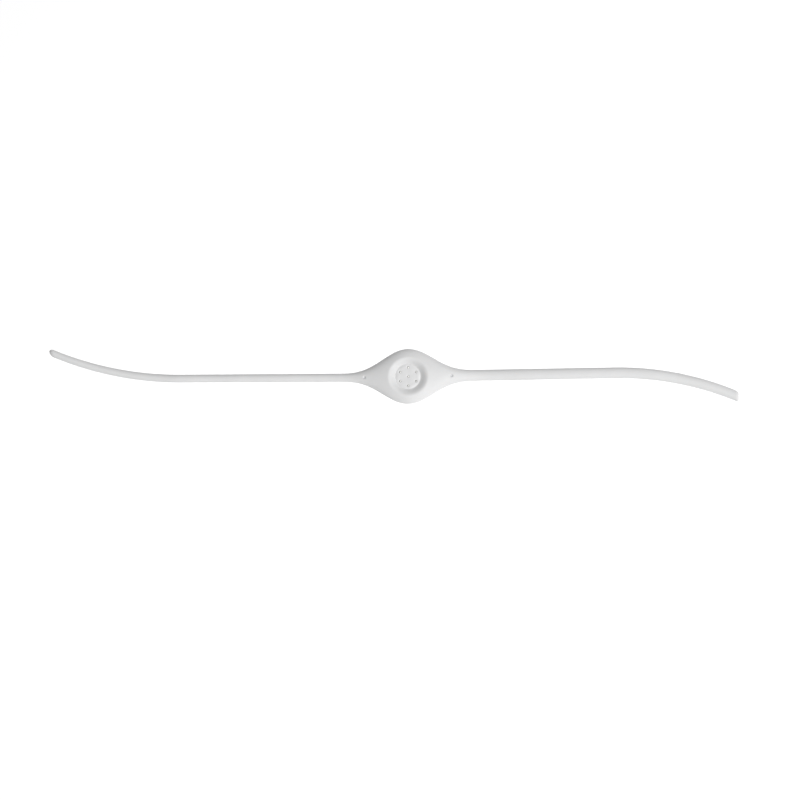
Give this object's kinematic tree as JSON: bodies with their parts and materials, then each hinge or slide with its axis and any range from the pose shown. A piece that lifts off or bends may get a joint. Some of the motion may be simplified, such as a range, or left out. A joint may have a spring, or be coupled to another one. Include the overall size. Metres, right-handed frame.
{
  "type": "wrist strap",
  "caption": "Slim white wrist strap with a pillow-shaped head, a round dish with vent holes, a metal skin contact, and thin arms that bend round the wrist.",
  "frame": {"origin": "middle of the head's underside, on the contact plate's skin face", "axes": "+X along the strap towards the right arm, +Y across it, +Z away from the skin, out of the dish"},
  "size_m": [0.2205, 0.0176, 0.0051],
  "materials": {
    "soft_white": "matt soft-touch silicone rubber, cool white",
    "disc_white": "fine matt moulded plastic, cool white",
    "gasket": "matt",
    "brass": "bright, stamped",
    "nickel": "bright nickel plate",
    "skin_steel": "fine circular brush",
    "screw_steel": "satin",
    "core_wire": "drawn, annealed",
    "board": "solder-masked laminate",
    "ceramic": "matt ceramic"
  },
  "bodies": {
    "head": {"head_cover": "soft_white", "head_base": "soft_white", "vent_disc": "disc_white", "disc_gasket": "gasket", "emitter_comb": "nickel", "resistor": "ceramic", "circuit_board": "board", "contact_spring": "brass", "contact_plate": "skin_steel", "neck_screw_left": "screw_steel", "core_eyelet_left": "brass", "core_wire_left_root": "core_wire", "neck_screw_right": "screw_steel", "core_eyelet_right": "brass", "core_wire_right_root": "core_wire"},
    "arm_left_1": {"sleeve_left_1": "soft_white", "core_wire_left_1": "core_wire"},
    "arm_left_2": {"sleeve_left_2": "soft_white", "core_wire_left_2": "core_wire"},
    "arm_left_3": {"sleeve_left_3": "soft_white", "core_wire_left_3": "core_wire"},
    "arm_left_4": {"sleeve_left_4": "soft_white", "core_wire_left_4": "core_wire"},
    "arm_left_5": {"sleeve_left_5": "soft_white", "core_wire_left_5": "core_wire"},
    "arm_left_6": {"sleeve_left_6": "soft_white", "core_wire_left_6": "core_wire"},
    "arm_left_7": {"sleeve_left_7": "soft_white", "core_wire_left_7": "core_wire"},
    "arm_left_8": {"sleeve_left_8": "soft_white", "core_wire_left_8": "core_wire"},
    "arm_left_9": {"sleeve_left_9": "soft_white", "core_wire_left_9": "core_wire"},
    "arm_left_10": {"sleeve_left_10": "soft_white", "core_wire_left_10": "core_wire"},
    "arm_left_11": {"sleeve_left_11": "soft_white", "core_wire_left_11": "core_wire"},
    "arm_right_1": {"sleeve_right_1": "soft_white", "core_wire_right_1": "core_wire"},
    "arm_right_2": {"sleeve_right_2": "soft_white", "core_wire_right_2": "core_wire"},
    "arm_right_3": {"sleeve_right_3": "soft_white", "core_wire_right_3": "core_wire"},
    "arm_right_4": {"sleeve_right_4": "soft_white", "core_wire_right_4": "core_wire"},
    "arm_right_5": {"sleeve_right_5": "soft_white", "core_wire_right_5": "core_wire"},
    "arm_right_6": {"sleeve_right_6": "soft_white", "core_wire_right_6": "core_wire"},
    "arm_right_7": {"sleeve_right_7": "soft_white", "core_wire_right_7": "core_wire"},
    "arm_right_8": {"sleeve_right_8": "soft_white", "core_wire_right_8": "core_wire"},
    "arm_right_9": {"sleeve_right_9": "soft_white", "core_wire_right_9": "core_wire"},
    "arm_right_10": {"sleeve_right_10": "soft_white", "core_wire_right_10": "core_wire"},
    "arm_right_11": {"sleeve_right_11": "soft_white", "core_wire_right_11": "core_wire"}
  },
  "joints": [
    {"name": "bend_left_1", "type": "hinge", "parent": "head", "child": "arm_left_1", "pos_m": [-0.017, -0.00037, 0.0012], "axis": [0, -1, 0], "range_deg": [-5, 29.68]},
    {"name": "bend_left_2", "type": "hinge", "parent": "arm_left_1", "child": "arm_left_2", "pos_m": [-0.02588, -0.00044, 0.0012], "axis": [0, -1, 0], "range_deg": [-5, 19.37]},
    {"name": "bend_left_3", "type": "hinge", "parent": "arm_left_2", "child": "arm_left_3", "pos_m": [-0.03476, -0.00048, 0.0012], "axis": [0, -1, 0], "range_deg": [-5, 22.83]},
    {"name": "bend_left_4", "type": "hinge", "parent": "arm_left_3", "child": "arm_left_4", "pos_m": [-0.04365, -0.00053, 0.0012], "axis": [0, -1, 0], "range_deg": [-5, 19.8]},
    {"name": "bend_left_5", "type": "hinge", "parent": "arm_left_4", "child": "arm_left_5", "pos_m": [-0.05253, -0.00058, 0.0012], "axis": [0, -1, 0], "range_deg": [-5, 20.78]},
    {"name": "bend_left_6", "type": "hinge", "parent": "arm_left_5", "child": "arm_left_6", "pos_m": [-0.06141, -0.00063, 0.0012], "axis": [0, -1, 0], "range_deg": [-5, 22.49]},
    {"name": "bend_left_7", "type": "hinge", "parent": "arm_left_6", "child": "arm_left_7", "pos_m": [-0.07029, -0.00067, 0.0012], "axis": [0, -1, 0], "range_deg": [-5, 18.49]},
    {"name": "bend_left_8", "type": "hinge", "parent": "arm_left_7", "child": "arm_left_8", "pos_m": [-0.07917, -0.00051, 0.0012], "axis": [0, -1, 0], "range_deg": [-5, 14.13]},
    {"name": "bend_left_9", "type": "hinge", "parent": "arm_left_8", "child": "arm_left_9", "pos_m": [-0.08805, 0.00038, 0.0012], "axis": [0, -1, 0], "range_deg": [-5, 10.34]},
    {"name": "bend_left_10", "type": "hinge", "parent": "arm_left_9", "child": "arm_left_10", "pos_m": [-0.09694, 0.00205, 0.0012], "axis": [0, -1, 0], "range_deg": [-5, 8.6]},
    {"name": "bend_left_11", "type": "hinge", "parent": "arm_left_10", "child": "arm_left_11", "pos_m": [-0.10582, 0.00453, 0.0012], "axis": [0, -1, 0], "range_deg": [-5, 12.19]},
    {"name": "bend_right_1", "type": "hinge", "parent": "head", "child": "arm_right_1", "pos_m": [0.017, 0.00028, 0.0012], "axis": [0, 1, 0], "range_deg": [-5, 28.87]},
    {"name": "bend_right_2", "type": "hinge", "parent": "arm_right_1", "child": "arm_right_2", "pos_m": [0.02507, 0.00042, 0.0012], "axis": [0, 1, 0], "range_deg": [-5, 17.21]},
    {"name": "bend_right_3", "type": "hinge", "parent": "arm_right_2", "child": "arm_right_3", "pos_m": [0.03315, 0.00057, 0.0012], "axis": [0, 1, 0], "range_deg": [-5, 20.5]},
    {"name": "bend_right_4", "type": "hinge", "parent": "arm_right_3", "child": "arm_right_4", "pos_m": [0.04122, 0.00072, 0.0012], "axis": [0, 1, 0], "range_deg": [-5, 19.41]},
    {"name": "bend_right_5", "type": "hinge", "parent": "arm_right_4", "child": "arm_right_5", "pos_m": [0.04929, 0.00087, 0.0012], "axis": [0, 1, 0], "range_deg": [-5, 17.04]},
    {"name": "bend_right_6", "type": "hinge", "parent": "arm_right_5", "child": "arm_right_6", "pos_m": [0.05736, 0.00102, 0.0012], "axis": [0, 1, 0], "range_deg": [-5, 20.88]},
    {"name": "bend_right_7", "type": "hinge", "parent": "arm_right_6", "child": "arm_right_7", "pos_m": [0.06544, 0.00116, 0.0012], "axis": [0, 1, 0], "range_deg": [-5, 19.09]},
    {"name": "bend_right_8", "type": "hinge", "parent": "arm_right_7", "child": "arm_right_8", "pos_m": [0.07351, 0.00101, 0.0012], "axis": [0, 1, 0], "range_deg": [-5, 15.28]},
    {"name": "bend_right_9", "type": "hinge", "parent": "arm_right_8", "child": "arm_right_9", "pos_m": [0.08158, 0.00018, 0.0012], "axis": [0, 1, 0], "range_deg": [-5, 11.92]},
    {"name": "bend_right_10", "type": "hinge", "parent": "arm_right_9", "child": "arm_right_10", "pos_m": [0.08965, -0.00132, 0.0012], "axis": [0, 1, 0], "range_deg": [-5, 8.77]},
    {"name": "bend_right_11", "type": "hinge", "parent": "arm_right_10", "child": "arm_right_11", "pos_m": [0.09773, -0.00355, 0.0012], "axis": [0, 1, 0], "range_deg": [-5, 7.9]}
  ]
}
